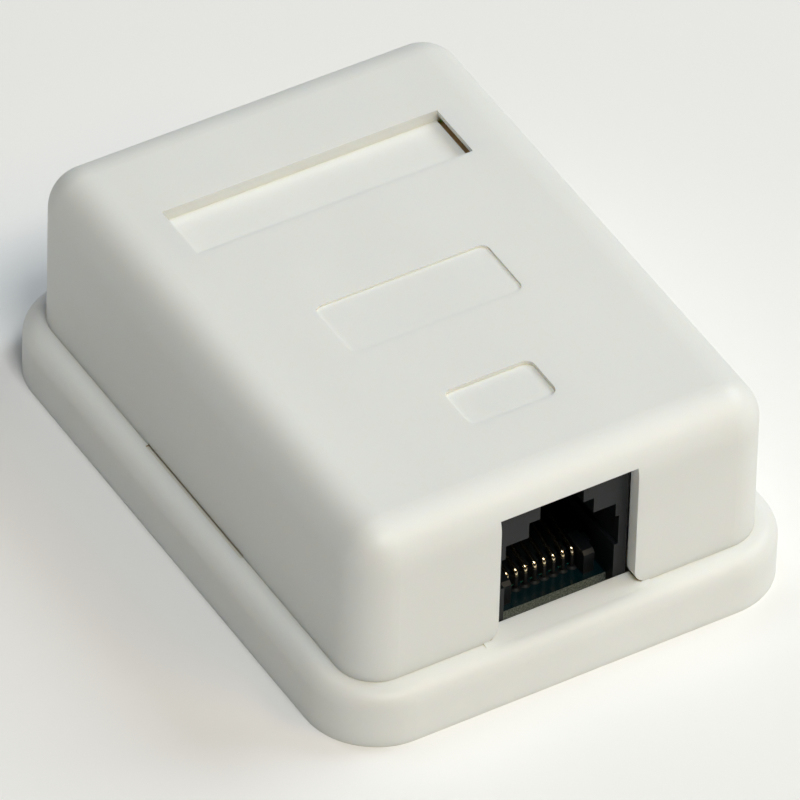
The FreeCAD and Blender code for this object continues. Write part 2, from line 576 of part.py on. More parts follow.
def make_cover():
    """The cover is its outside form less its core, as it is moulded."""
    form = new_body("cover_form")
    drafted_block(form, COVER_WIDTH, COVER_DEPTH, "0", s("cover_edge_radius"))
    # recesses in the top, square to its slope
    recess = rectangle("-Sizes.label_width / 2", "Sizes.label_y - Sizes.label_length / 2",
                       "Sizes.label_width / 2", "Sizes.label_y + Sizes.label_length / 2")
    cut(form, "XY_Plane", COVER_TOP, [recess], s("label_depth"), tilt="Sizes.top_slope")
    ends = [rectangle("%sSizes.label_width / 2" % side,
                      "Sizes.label_y - Sizes.label_length / 2",
                      "%s(Sizes.label_width / 2 + Sizes.label_slot_reach)" % side,
                      "Sizes.label_y + Sizes.label_length / 2") for side in ("", "-")]
    cut(form, "XY_Plane", "%s - Sizes.label_lip" % COVER_TOP, ends,
        s("label_slot_height"), tilt="Sizes.top_slope")
    cut(form, "XY_Plane", COVER_TOP,
        [("rounded", s("plate_width"), s("plate_length"), s("plate_radius"), "0", s("plate_y"))],
        s("plate_depth"), tilt="Sizes.top_slope")
    cut(form, "XY_Plane", COVER_TOP,
        [("rounded", s("icon_width"), s("icon_length"), s("icon_radius"), "0", s("icon_y"))],
        s("icon_depth"), tilt="Sizes.top_slope")
    # window for the socket, with rounded feet
    cut(form, "XZ_Plane", "-(%s - Sizes.run_out)" % COVER_FRONT,
        [rectangle("-%s / 2" % WINDOW_WIDTH, "Sizes.flange_height - Sizes.run_out",
                   "%s / 2" % WINDOW_WIDTH, WINDOW_TOP)],
        "Sizes.cover_wall + 2 * Sizes.run_out")
    foot = read(s("flange_height"))
    side = read("%s / 2" % WINDOW_WIDTH)
    rounded(form, s("window_flare"),
            lambda m, t: abs(m.z - foot) < 1e-6 and abs(abs(m.x) - side) < 1e-6
            and abs(t.y) > 0.99)
    # scored knock-out for the cable in the rear wall
    top = "(Sizes.flange_height + Sizes.knockout_height)"
    half = "Sizes.knockout_width / 2"
    inner = "(Sizes.knockout_width / 2 - Sizes.knockout_groove)"
    score = [("-(%s)" % half, s("flange_height")), ("-" + inner, s("flange_height")),
             ("-" + inner, top + " - Sizes.knockout_groove"),
             (inner, top + " - Sizes.knockout_groove"), (inner, s("flange_height")),
             (half, s("flange_height")), (half, top), ("-(%s)" % half, top)]
    cut(form, "XZ_Plane", "-(%s / 2 - Sizes.knockout_score)" % COVER_DEPTH, [score],
        "Sizes.knockout_score + Sizes.run_out")
    high = read(top)
    wide = read(half)
    rounded(form, s("knockout_radius"),
            lambda m, t: abs(t.y) > 0.99 and abs(m.z - high) < 1e-6
            and abs(abs(m.x) - wide) < 1e-6)

    # notches in the foot over the prising slots
    cut(form, "YZ_Plane", 0,
        [rectangle(SLOT_START, "Sizes.flange_height - Sizes.run_out", SLOT_END,
                   "Sizes.flange_height + Sizes.slot_lift")],
        "%s + Sizes.run_out" % COVER_WIDTH, both=True)

    core = new_body("cover_core")
    drafted_block(core, CORE_WIDTH, CORE_DEPTH, s("cover_wall"),
                  "(Sizes.cover_edge_radius - Sizes.cover_wall)")
    # catch beads inside the long walls
    beads = [[("%s%s / 2" % (side, CORE_WIDTH), "%s - Sizes.catch_width / 2" % CATCH_Z),
              ("%s(%s / 2 + Sizes.catch_play)" % (side, RIM_WIDTH), CATCH_Z),
              ("%s%s / 2" % (side, CORE_WIDTH), "%s + Sizes.catch_width / 2" % CATCH_Z)]
             for side in ("", "-")]
    cut(core, "XZ_Plane", "-(%s)" % s("slot_centre"), beads, s("catch_length"), both=True)
    # floor under the label recess
    cut(core, "XY_Plane", COVER_TOP,
        [rectangle("-(Sizes.label_width / 2 - Sizes.label_floor_inset)",
                   "Sizes.label_y - Sizes.label_length / 2 - Sizes.label_floor",
                   "Sizes.label_width / 2 - Sizes.label_floor_inset",
                   "Sizes.label_y + Sizes.label_length / 2 + Sizes.label_floor")],
        "Sizes.label_depth + Sizes.label_floor", tilt="Sizes.top_slope")
    # ribs that stand just clear of the socket's top
    start = SOCKET_FRONT + " + Sizes.hold_rib_setback"
    ribs = [rectangle("%s * Sizes.hold_rib_spacing / 2 - Sizes.hold_rib_thickness / 2" % side, start,
                      "%s * Sizes.hold_rib_spacing / 2 + Sizes.hold_rib_thickness / 2" % side,
                      start + " + Sizes.hold_rib_length") for side in ("1", "-1")]
    cut(core, "XY_Plane", SOCKET_TOP + " + Sizes.hold_gap", ribs, COVER_TOP, forwards=True)

    cover = doc.addObject("Part::Cut", "cover")
    cover.Label = "cover"
    cover.Base = form
    cover.Tool = core
    doc.recompute()
    return cover


def make_board():
    body = new_body("circuit_board")
    half = BOARD_WIDTH + " / 2"
    tongue = BOARD_TONGUE + " / 2"
    outline = [("-" + tongue, BOARD_FRONT), (tongue, BOARD_FRONT), (tongue, BOARD_STEP),
               (half, BOARD_STEP), (half, BOARD_REAR), ("-" + half, BOARD_REAR),
               ("-" + half, BOARD_STEP), ("-" + tongue, BOARD_STEP)]
    add(body, "XY_Plane", s("board_bottom"), [outline], s("board_thickness"))
    holes = [("circle", side + PEG_X, PEG_Y, s("peg_hole_radius")) for side in ("", "-")]
    holes += [("circle", "0", y, s("screw_hole_radius")) for y in (SCREW_FRONT, SCREW_REAR)]
    holes += [centred(s("contact_hole"), s("contact_hole"), contact_x(i), CONTACT_Y)
              for i in range(8)]
    holes += [centred(s("fork_hole"), s("fork_hole"), side + BLOCK_X, fork_y(i))
              for side in ("", "-") for i in range(4)]
    cut(body, "XY_Plane", BOARD_TOP, holes, "Sizes.board_thickness + Sizes.run_out")
    return body


def contact_x(number):
    return "(%s * Sizes.contact_pitch)" % (number - 3.5)


def fork_y(number):
    return "(%s + %s * Sizes.block_pitch)" % (BLOCK_Y, number - 1.5)


def make_housing():
    body = new_body("jack_housing")
    half = "Sizes.socket_width / 2"
    front = "-(%s)" % SOCKET_FRONT
    add(body, "XZ_Plane", front, [rectangle("-" + half, BOARD_TOP, half, SOCKET_TOP)],
        s("socket_length"), backwards=True)
    # legs in front of the board's edge
    legs = [rectangle("%sSizes.plug_width / 2" % side, BOARD_TOP + " - Sizes.leg_drop",
                      "%sSizes.socket_width / 2" % side, BOARD_TOP + " + Sizes.run_out")
            for side in ("", "-")]
    add(body, "XZ_Plane", front, legs,
        "%s - Sizes.leg_gap - %s" % (BOARD_FRONT, SOCKET_FRONT), backwards=True)
    # stepped mouth for the plug and its latch, open to the board below
    side = "Sizes.plug_width / 2"
    relief = "Sizes.plug_width / 2 + Sizes.plug_relief"
    right = [(side, BOARD_TOP + " - Sizes.leg_drop - Sizes.run_out"), (side, RELIEF_BOTTOM),
             (relief, RELIEF_BOTTOM), (relief, RELIEF_TOP), (side, RELIEF_TOP), (side, PLUG_TOP),
             ("Sizes.latch_wide / 2", PLUG_TOP), ("Sizes.latch_wide / 2", LATCH_STEP),
             ("Sizes.latch_narrow / 2", LATCH_STEP), ("Sizes.latch_narrow / 2", LATCH_TOP)]
    left = [("-(%s)" % x, z) for x, z in reversed(right)]
    cut(body, "XZ_Plane", front, [right + left], "Sizes.socket_length - Sizes.housing_back")
    # room behind the face for the shoulders of the latch
    cut(body, "XZ_Plane", "%s - Sizes.latch_lip" % front,
        [rectangle("-Sizes.latch_wide / 2", PLUG_TOP + " - Sizes.run_out",
                   "Sizes.latch_wide / 2", LATCH_TOP)],
        "Sizes.socket_length - Sizes.housing_back - Sizes.latch_lip - Sizes.latch_back")
    pegs = [("circle", side + PEG_X, PEG_Y, s("peg_radius")) for side in ("", "-")]
    add(body, "XY_Plane", BOARD_TOP, pegs, s("peg_length"), backwards=True)
    return body


def make_carrier():
    body = new_body("contact_carrier")
    slab_top = "(%s + Sizes.carrier_slab)" % BOARD_TOP
    rear = "(%s - Sizes.housing_back - Sizes.carrier_fit)" % SOCKET_REAR
    guide = "(%s + Sizes.carrier_rear_reach)" % CONTACT_Y
    rear_top = "(%s + Sizes.carrier_rear_height)" % BOARD_TOP
    bar_rear = "(%s + Sizes.carrier_bar_length)" % BAR_FRONT
    bar_top = "(%s + Sizes.carrier_bar_height)" % BOARD_TOP
    side = [(BAR_FRONT, BOARD_TOP), (rear, BOARD_TOP), (rear, rear_top), (guide, rear_top),
            (guide, slab_top), (bar_rear, slab_top), (bar_rear, bar_top), (BAR_FRONT, bar_top)]
    add(body, "YZ_Plane", 0, [side], CARRIER_WIDTH, both=True)
    # cheeks in front of the bar's ends, with bevelled faces
    near = "(%s + Sizes.contact_width / 2 + Sizes.carrier_cheek_gap)" % contact_x(7)
    cheeks = [rectangle(mirror + near, BAR_FRONT + " - Sizes.carrier_cheek",
                        "%s(%s + Sizes.carrier_cheek_width)" % (mirror, near), bar_rear)
              for mirror in ("", "-")]
    add(body, "XY_Plane", BOARD_TOP, cheeks, s("carrier_cheek_height"))
    face = read(BAR_FRONT + " - Sizes.carrier_cheek")
    crest = read("%s + Sizes.carrier_cheek_height" % BOARD_TOP)
    bevelled(body, s("carrier_cheek_bevel"),
             lambda m, t: abs(m.y - face) < 1e-6 and abs(m.z - crest) < 1e-6)
    # guide grooves in the bar and slots in the rear block
    grooves = [centred(s("carrier_groove"), "(2 * Sizes.carrier_bar_length)", contact_x(i),
                       "(%s + Sizes.carrier_bar_length / 2)" % BAR_FRONT) for i in range(8)]
    cut(body, "XY_Plane", BOARD_TOP + " + Sizes.carrier_groove_floor", grooves,
        s("carrier_groove_height"), forwards=True)
    middle = "(%s + Sizes.carrier_slot_floor + Sizes.carrier_slot_height / 2)" % BOARD_TOP
    slots = [centred(s("carrier_groove"), s("carrier_slot_height"), contact_x(i), middle)
             for i in range(8)]
    cut(body, "XZ_Plane", "-(%s)" % guide, slots, s("carrier_slot_depth"))
    return body


def make_contact(number):
    body = new_body("jack_contact_%d" % (number + 1))
    front = "(%s - Sizes.contact_thickness / 2)" % CONTACT_Y
    rear = "(%s + Sizes.contact_thickness / 2)" % CONTACT_Y
    tip = "(%s + Sizes.contact_reach)" % CONTACT_Y
    low = BEND_Z + " - Sizes.contact_thickness / 2"
    high = BEND_Z + " + Sizes.contact_thickness / 2"
    run = "Sizes.contact_rise * (%s - %s)" % (tip, front)
    foot = "Sizes.board_bottom - Sizes.contact_tail"
    side = [(front, foot), (front, high), (tip, "%s + %s" % (high, run)),
            (tip, "%s + %s" % (low, run)),
            (rear, "%s + Sizes.contact_rise * Sizes.contact_thickness" % low), (rear, foot)]
    add(body, "YZ_Plane", 0, [side], s("contact_width"), both=True)
    crest = read(high)
    rounded(body, s("contact_bend_radius"),
            lambda m, t: abs(t.x) > 0.99 and abs(m.z - crest) < 1e-6)
    body.setExpression("Placement.Base.x", contact_x(number))
    return body


def make_block(name, side):
    body = new_body(name)
    foot = BOARD_TOP
    top = "(%s + Sizes.block_height)" % BOARD_TOP
    floor = "(%s + Sizes.block_base)" % BOARD_TOP
    first = "(%s - Sizes.block_slot / 2 - Sizes.block_end)" % fork_y(0)
    last = "(%s + Sizes.block_slot / 2 + Sizes.block_end)" % fork_y(3)
    outline = [(first, foot), (last, foot), (last, top)]
    for i in (3, 2, 1, 0):
        right = "(%s + Sizes.block_slot / 2)" % fork_y(i)
        left = "(%s - Sizes.block_slot / 2)" % fork_y(i)
        shoulder = "(%s - Sizes.block_point)" % top
        if i == 3:
            outline.append(("%s + Sizes.block_end / 2" % right, top))
        else:
            outline.append(("(%s + %s) / 2" % (fork_y(i), fork_y(i + 1)), top))
        outline += [(right, shoulder), (right, floor), (left, floor), (left, shoulder)]
    outline.append(("%s + Sizes.block_end / 2" % first, top))
    outline.append((first, top))
    add(body, "YZ_Plane", 0, [outline], s("block_width"), both=True)
    # grooves for the forks, down through the foot
    grooves = [centred(s("fork_groove"), "(Sizes.fork_width + 2 * Sizes.fork_fit)", "0", fork_y(i))
               for i in range(4)]
    cut(body, "XY_Plane", BOARD_TOP, grooves, "Sizes.fork_height + Sizes.fork_fit", forwards=True)
    body.setExpression("Placement.Base.x", side + BLOCK_X)
    return body


def make_fork(name, side, number):
    body = new_body(name)
    middle = fork_y(number)
    tall = "(%s + Sizes.fork_height)" % BOARD_TOP
    root = "(%s + Sizes.fork_root)" % BOARD_TOP
    half = "Sizes.fork_width / 2"
    slit = "Sizes.fork_slit / 2"
    tail = "Sizes.fork_tail_width / 2"
    right = [("%s + %s" % (middle, tail), "Sizes.board_bottom - Sizes.contact_tail"),
             ("%s + %s" % (middle, tail), BOARD_TOP), ("%s + %s" % (middle, half), BOARD_TOP),
             ("%s + %s" % (middle, half), tall),
             ("%s + (%s + Sizes.fork_lead)" % (middle, slit), tall),
             ("%s + %s" % (middle, slit), "%s - 2 * Sizes.fork_lead" % tall),
             ("%s + %s" % (middle, slit), root)]
    left = [(y.replace("%s +" % middle, "%s -" % middle, 1), z) for y, z in reversed(right)]
    add(body, "YZ_Plane", 0, [right + left], s("fork_thickness"), both=True)
    body.setExpression("Placement.Base.x", side + BLOCK_X)
    return body


def make_screw(name, place):
    body = new_body(name)
    shank, tip = s("screw_radius"), "-Sizes.screw_length"
    head, top = s("screw_head_radius"), s("screw_head_height")
    sketch = new_sketch(body, "XZ_Plane", 0)
    draw(sketch, [[("0", tip), (s("screw_point"), tip), (shank, tip + " + Sizes.screw_cone"),
                   (shank, "0"), (head, "0"), (head, s("screw_head_edge")),
                   (s("screw_head_flat"), top), ("0", top)]])
    doc.recompute()
    turned = body.newObject("PartDesign::Revolution", name + "_turned")
    turned.Profile = sketch
    turned.ReferenceAxis = (sketch, ["V_Axis"])
    turned.Angle = 360
    doc.recompute()
    arm, half = s("cross_arm"), s("cross_half")
    cross = [("-" + arm, "-" + half), ("-" + half, "-" + half), ("-" + half, "-" + arm),
             (half, "-" + arm), (half, "-" + half), (arm, "-" + half), (arm, half),
             (half, half), (half, arm), ("-" + half, arm), ("-" + half, half), ("-" + arm, half)]
    cut(body, "XY_Plane", top, [cross], s("cross_depth"))
    body.setExpression("Placement.Base.y", place)
    body.setExpression("Placement.Base.z", BOARD_TOP)
    return body


pieces = [make_base(), make_cover(), make_board(), make_housing(), make_carrier()]
pieces += [make_contact(i) for i in range(8)]
for label, side in (("left", "-"), ("right", "")):
    pieces.append(make_block("punch_block_" + label, side))
    pieces += [make_fork("wire_fork_%s_%d" % (label, i + 1), side, i) for i in range(4)]
pieces.append(make_screw("board_screw_front", SCREW_FRONT))
pieces.append(make_screw("board_screw_rear", SCREW_REAR))
doc.recompute()

for item in doc.Objects:
    if "Invalid" in item.State or "Error" in item.State:
        raise RuntimeError("%s did not build: %s" % (item.Name, item.State))
for piece in pieces:
    if piece.Shape.isNull() or not piece.Shape.isValid() or len(piece.Shape.Solids) != 1:
        raise RuntimeError("%s is not one valid solid" % piece.Label)

os.makedirs("parts", exist_ok=True)
for piece in pieces:
    piece.Shape.exportStep("parts/%s.step" % piece.Label)
    print("%-20s %9.2f mm3" % (piece.Label, piece.Shape.Volume))
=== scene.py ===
import math

import bmesh
import bpy
from mathutils import Matrix, Vector


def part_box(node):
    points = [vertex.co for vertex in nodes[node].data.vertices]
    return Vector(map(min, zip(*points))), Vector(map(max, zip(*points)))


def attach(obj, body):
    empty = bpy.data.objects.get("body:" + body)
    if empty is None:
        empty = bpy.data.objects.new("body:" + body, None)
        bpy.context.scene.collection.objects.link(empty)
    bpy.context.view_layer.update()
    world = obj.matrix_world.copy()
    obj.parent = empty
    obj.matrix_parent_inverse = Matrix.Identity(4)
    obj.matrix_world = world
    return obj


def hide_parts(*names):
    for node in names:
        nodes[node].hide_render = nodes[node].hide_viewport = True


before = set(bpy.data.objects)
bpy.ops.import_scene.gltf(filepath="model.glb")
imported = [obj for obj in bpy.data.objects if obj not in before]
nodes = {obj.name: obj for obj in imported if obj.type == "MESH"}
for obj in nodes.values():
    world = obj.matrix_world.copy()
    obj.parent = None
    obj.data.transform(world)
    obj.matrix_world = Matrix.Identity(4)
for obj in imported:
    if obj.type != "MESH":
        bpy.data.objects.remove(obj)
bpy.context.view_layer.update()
scene = bpy.context.scene
MM = 0.001

# sockets of a Mix node that mixes colours
MIX_FIRST = 6
MIX_SECOND = 7
MIX_RESULT = 2


# ---------------------------------------------------------------- materials


def linear(red, green, blue):
    """Screen colour values from 0 to 255 as the shader's linear colour."""
    def one(v):
        v /= 255.0
        return v / 12.92 if v <= 0.04045 else ((v + 0.055) / 1.055) ** 2.4
    return (one(red), one(green), one(blue), 1.0)


class Nodes:
    """Short calls for building one node material."""

    def __init__(self, name):
        self.material = bpy.data.materials.new(name)
        self.material.use_nodes = True
        self.tree = self.material.node_tree
        self.shader = self.tree.nodes["Principled BSDF"]
        coordinates = self.tree.nodes.new("ShaderNodeTexCoord")
        self.place = coordinates.outputs["Object"]

    def link(self, source, target):
        self.tree.links.new(source, target)

    def noise(self, scale, detail=3.0, roughness=0.5, stretch=None):
        """Noise of so many features a metre, from 0 to 1."""
        node = self.tree.nodes.new("ShaderNodeTexNoise")
        node.inputs["Scale"].default_value = scale
        node.inputs["Detail"].default_value = detail
        node.inputs["Roughness"].default_value = roughness
        if stretch:
            mapping = self.tree.nodes.new("ShaderNodeMapping")
            mapping.inputs["Scale"].default_value = stretch
            self.link(self.place, mapping.inputs["Vector"])
            self.link(mapping.outputs["Vector"], node.inputs["Vector"])
        else:
            self.link(self.place, node.inputs["Vector"])
        return node.outputs["Fac"]

    def spread(self, value, low, high, start=0.0, end=1.0):
        """Maps a value onto the span from start to end."""
        node = self.tree.nodes.new("ShaderNodeMapRange")
        node.inputs["From Min"].default_value = low
        node.inputs["From Max"].default_value = high
        node.inputs["To Min"].default_value = start
        node.inputs["To Max"].default_value = end
        self.link(value, node.inputs["Value"])
        return node.outputs["Result"]

    def ramp(self, value, stops):
        """Colours by value, from stops of (value, colour)."""
        node = self.tree.nodes.new("ShaderNodeValToRGB")
        elements = node.color_ramp.elements
        for index, (at, colour) in enumerate(stops):
            element = elements[index] if index < 2 else elements.new(at)
            element.position = at
            element.color = colour
        self.link(value, node.inputs["Fac"])
        return node.outputs["Color"]

    def mix(self, share, first, second):
        """A colour mix by a share; each colour is a constant or an output."""
        node = self.tree.nodes.new("ShaderNodeMix")
        node.data_type = "RGBA"
        self.link(share, node.inputs["Factor"])
        for key, colour in ((MIX_FIRST, first), (MIX_SECOND, second)):
            if isinstance(colour, tuple):
                node.inputs[key].default_value = colour
            else:
                self.link(colour, node.inputs[key])
        return node.outputs[MIX_RESULT]

    def multiply(self, first, second):
        """The product of two colour outputs."""
        node = self.tree.nodes.new("ShaderNodeMix")
        node.data_type = "RGBA"
        node.blend_type = "MULTIPLY"
        node.inputs["Factor"].default_value = 1.0
        self.link(first, node.inputs[MIX_FIRST])
        self.link(second, node.inputs[MIX_SECOND])
        return node.outputs[MIX_RESULT]

    def bump(self, height, strength, distance, below=None):
        """A bumped normal, on top of another one if it is given."""
        node = self.tree.nodes.new("ShaderNodeBump")
        node.inputs["Strength"].default_value = strength
        node.inputs["Distance"].default_value = distance
        self.link(height, node.inputs["Height"])
        if below:
            self.link(below, node.inputs["Normal"])
        return node.outputs["Normal"]

    def edges(self, size):
        """1 along sharp edges, 0 on flat faces, over about size metres."""
        bevel = self.tree.nodes.new("ShaderNodeBevel")
        bevel.samples = 4
        bevel.inputs["Radius"].default_value = size
        geometry = self.tree.nodes.new("ShaderNodeNewGeometry")
        dot = self.tree.nodes.new("ShaderNodeVectorMath")
        dot.operation = "DOT_PRODUCT"
        self.link(bevel.outputs["Normal"], dot.inputs[0])
        self.link(geometry.outputs["Normal"], dot.inputs[1])
        return self.spread(dot.outputs["Value"], 1.0, 0.8)

    def openness(self, reach):
        """1 in the open, falling to 0 in crevices narrower than reach metres."""
        node = self.tree.nodes.new("ShaderNodeAmbientOcclusion")
        node.samples = 8
        node.inputs["Distance"].default_value = reach
        return node.outputs["AO"]

    def set(self, **values):
        """Sets inputs of the shader by name, with _ for each space."""
        for name, value in values.items():
            self.shader.inputs[name.replace("_", " ")].default_value = value


def moulded_white(name, dull, bright):
    """Satin white ABS: fine grain, slow flow marks, a little depth, and painted brown shade in its
    crevices.
    """
    n = Nodes(name)
    flow = n.noise(45.0, 3.0, 0.55, (1.0, 0.45, 1.0))
    clean = n.ramp(flow, [(0.30, dull), (0.70, bright)])
    # painted shade: ambient occlusion paints crevices browner and darker
    painted_crevice_shade = n.ramp(n.openness(0.0010), [(0.02, linear(200, 168, 110)),
                                          (0.20, linear(242, 228, 190)),
                                          (0.42, linear(255, 252, 243)),
                                          (0.7, linear(255, 255, 255))])
    n.link(n.multiply(clean, painted_crevice_shade), n.shader.inputs["Base Color"])
    grain = n.noise(9000.0, 2.0, 0.6)
    patch = n.noise(260.0, 4.0, 0.6)
    n.link(n.spread(patch, 0.3, 0.7, 0.40, 0.50), n.shader.inputs["Roughness"])
    coarse = n.bump(n.noise(1400.0, 3.0, 0.55), 0.10, 0.00006)
    n.link(n.bump(grain, 0.16, 0.00002, coarse), n.shader.inputs["Normal"])
    n.set(IOR=1.52, Subsurface_Weight=0.30, Subsurface_Scale=0.0018)
    n.shader.inputs["Subsurface Radius"].default_value = (1.0, 0.76, 0.48)
    return n.material


def moulded_black():
    """Satin black PBT of the socket, with a fine grain and a painted highlight of lighter grey along
    its edges.
    """
    n = Nodes("black_plastic")
    patch = n.noise(420.0, 3.0, 0.55)
    base = n.ramp(patch, [(0.3, linear(14, 18, 20)), (0.7, linear(19, 23, 26))])
    # painted highlight: edges are mixed towards a lighter grey
    n.link(n.mix(n.edges(0.00008), base, linear(38, 42, 45)), n.shader.inputs["Base Color"])
    n.link(n.spread(patch, 0.3, 0.7, 0.34, 0.46), n.shader.inputs["Roughness"])
    n.link(n.bump(n.noise(7000.0, 2.0, 0.6), 0.12, 0.00002), n.shader.inputs["Normal"])
    n.set(IOR=1.5, Specular_IOR_Level=0.3)
    return n.material


def board_laminate():
    """Dark green solder mask on the faces and pale speckled fibre on the sawn rim."""
    n = Nodes("board_laminate")
    weave = n.tree.nodes.new("ShaderNodeTexWave")
    weave.bands_direction = "X"
    weave.inputs["Scale"].default_value = 900.0
    weave.inputs["Distortion"].default_value = 1.2
    n.link(n.place, weave.inputs["Vector"])
    cloud = n.noise(300.0, 3.0, 0.5)
    mask = n.ramp(cloud, [(0.3, linear(2, 22, 26)), (0.7, linear(4, 29, 33))])
    fibre = n.ramp(n.noise(5200.0, 4.0, 0.7),
                   [(0.36, linear(66, 76, 70)), (0.64, linear(146, 152, 140))])
    geometry = n.tree.nodes.new("ShaderNodeNewGeometry")
    parts = n.tree.nodes.new("ShaderNodeSeparateXYZ")
    n.link(geometry.outputs["Normal"], parts.inputs["Vector"])
    upright = n.tree.nodes.new("ShaderNodeMath")
    upright.operation = "ABSOLUTE"
    n.link(parts.outputs["Z"], upright.inputs[0])
    flat = n.spread(upright.outputs["Value"], 0.4, 0.6)
    n.link(n.mix(flat, fibre, mask), n.shader.inputs["Base Color"])
    n.link(n.spread(flat, 0.0, 1.0, 0.75, 0.26), n.shader.inputs["Roughness"])
    n.link(n.bump(weave.outputs["Fac"], 0.10, 0.00002), n.shader.inputs["Normal"])
    n.set(IOR=1.5)
    return n.material


def block_plastic():
    """Pale polycarbonate of the punch-down blocks."""
    n = Nodes("block_plastic")
    patch = n.noise(350.0, 3.0, 0.5)
    n.link(n.ramp(patch, [(0.3, linear(214, 215, 208)), (0.7, linear(224, 225, 219))]),
           n.shader.inputs["Base Color"])
    n.link(n.spread(patch, 0.3, 0.7, 0.30, 0.38), n.shader.inputs["Roughness"])
    n.link(n.bump(n.noise(5000.0, 2.0, 0.5), 0.08, 0.00002), n.shader.inputs["Normal"])
    n.set(IOR=1.58, Subsurface_Weight=0.10, Subsurface_Scale=0.0012)
    return n.material


def drawn_metal(name, dark, light, low, high, across):
    """Bright metal with fine drawing lines and a few duller patches."""
    n = Nodes(name)
    lines = n.noise(6000.0, 2.0, 0.5, across)
    patch = n.noise(700.0, 3.0, 0.6)
    n.link(n.ramp(patch, [(0.3, dark), (0.7, light)]), n.shader.inputs["Base Color"])
    n.link(n.spread(patch, 0.3, 0.7, low, high), n.shader.inputs["Roughness"])
    n.link(n.bump(lines, 0.12, 0.00001), n.shader.inputs["Normal"])
    n.set(Metallic=1.0)
    return n.material


# the contacts' plating changes between these heights, in millimetres
TIN_TOP = 7.75
GOLD_START = 8.1


def contact_metal():
    """Gold over the spring and its bend; the tinned leg is painted far darker, as painted shade
    inside the socket.
    """
    n = Nodes("contact_gold")
    parts = n.tree.nodes.new("ShaderNodeSeparateXYZ")
    n.link(n.place, parts.inputs["Vector"])
    plated = n.spread(parts.outputs["Z"], TIN_TOP * MM, GOLD_START * MM)
    patch = n.noise(700.0, 3.0, 0.6)
    gold = n.ramp(patch, [(0.3, linear(224, 204, 164)), (0.7, linear(246, 234, 206))])
    # painted shade: the leg's tinned colour is painted nearly black
    tin_and_painted_shade = n.ramp(patch, [(0.3, linear(62, 62, 62)), (0.7, linear(86, 86, 85))])
    n.link(n.mix(plated, tin_and_painted_shade, gold), n.shader.inputs["Base Color"])
    n.link(n.spread(plated, 0.0, 1.0, 0.50, 0.16), n.shader.inputs["Roughness"])
    n.link(n.bump(n.noise(6000.0, 2.0, 0.5, (1.0, 0.08, 0.08)), 0.12, 0.00001),
           n.shader.inputs["Normal"])
    n.set(Metallic=1.0)
    return n.material


WHITE = moulded_white("white_plastic", linear(234, 235, 231), linear(239, 240, 236))
# painted shade: a warm brown white that paints the shade and through-wall glow of the label slot
# floors
PAINTED_SHADE_WHITE = moulded_white("white_plastic_painted_shade", linear(226, 184, 132), linear(234, 194, 142))
BLACK = moulded_black()
LAMINATE = board_laminate()
BLOCK = block_plastic()
GOLD = contact_metal()
TINNED = drawn_metal("tinned_bronze", linear(176, 172, 164), linear(206, 203, 197), 0.28, 0.42,
                     (1.0, 1.0, 0.1))
# painted shade: the pads' solder is painted nearly black for the shade inside the socket
PAINTED_SHADE_SOLDER = drawn_metal("solder_painted_dark", linear(40, 42, 42), linear(60, 62, 62), 0.55, 0.70,
                     (1.0, 1.0, 1.0))
ZINC = drawn_metal("plated_steel", linear(180, 183, 188), linear(214, 216, 220), 0.20, 0.34,
                   (1.0, 1.0, 1.0))


# the finish of each CAD node, by how its name starts
FINISHES = {
    "base": WHITE,
    "cover": WHITE,
    "circuit_board": LAMINATE,
    "jack_housing": BLACK,
    "contact_carrier": BLACK,
    "jack_contact": GOLD,
    "wire_fork": TINNED,
    "board_screw": ZINC,
    "punch_block": BLOCK,
}

for start, material in FINISHES.items():
    for name, node in nodes.items():
        if name.startswith(start):
            node.data.materials.clear()
            node.data.materials.append(material)


# ---------------------------------------------------------------- making pieces


def skin(shape, rings):
    """Faces between rings of as many corners each, and one face over either end."""
    for first, second in zip(rings, rings[1:]):
        for k in range(len(first)):
            following = (k + 1) % len(first)
            shape.faces.new((first[k], first[following], second[following], second[k]))
    shape.faces.new(rings[0][::-1])
    shape.faces.new(rings[-1])


# at a corner a strip is at most 1 / SHARPEST_MITRE times its width
SHARPEST_MITRE = 0.4


def lay_strips(name, paths, width, bottom, height, material, body):
    """Flat strips with mitred corners along open paths of points in millimetres."""
    shape = bmesh.new()
    for path in paths:
        points = [Vector(p) for p in path]
        rings = []
        for i, point in enumerate(points):
            ahead = (points[min(i + 1, len(points) - 1)] - points[max(i - 1, 0)]).normalized()
            if 0 < i < len(points) - 1:
                before = (point - points[i - 1]).normalized()
                stretch = 1.0 / max(SHARPEST_MITRE, before.dot(ahead))
            else:
                stretch = 1.0
            sideways = Vector((-ahead.y, ahead.x)) * (width / 2 * stretch)
            ring = []
            for side, z in ((1, bottom), (1, bottom + height), (-1, bottom + height), (-1, bottom)):
                corner = point + sideways * side
                ring.append(shape.verts.new((corner.x * MM, corner.y * MM, z * MM)))
            rings.append(ring)
        skin(shape, rings)
    bmesh.ops.recalc_face_normals(shape, faces=shape.faces[:])
    return settle(name, shape, material, body)


def settle(name, shape, material, body):
    """Turns the bmesh into an object that rides on a body."""
    mesh = bpy.data.meshes.new(name)
    shape.to_mesh(mesh)
    shape.free()
    mesh.materials.append(material)
    thing = bpy.data.objects.new(name, mesh)
    scene.collection.objects.link(thing)
    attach(thing, body)
    return thing


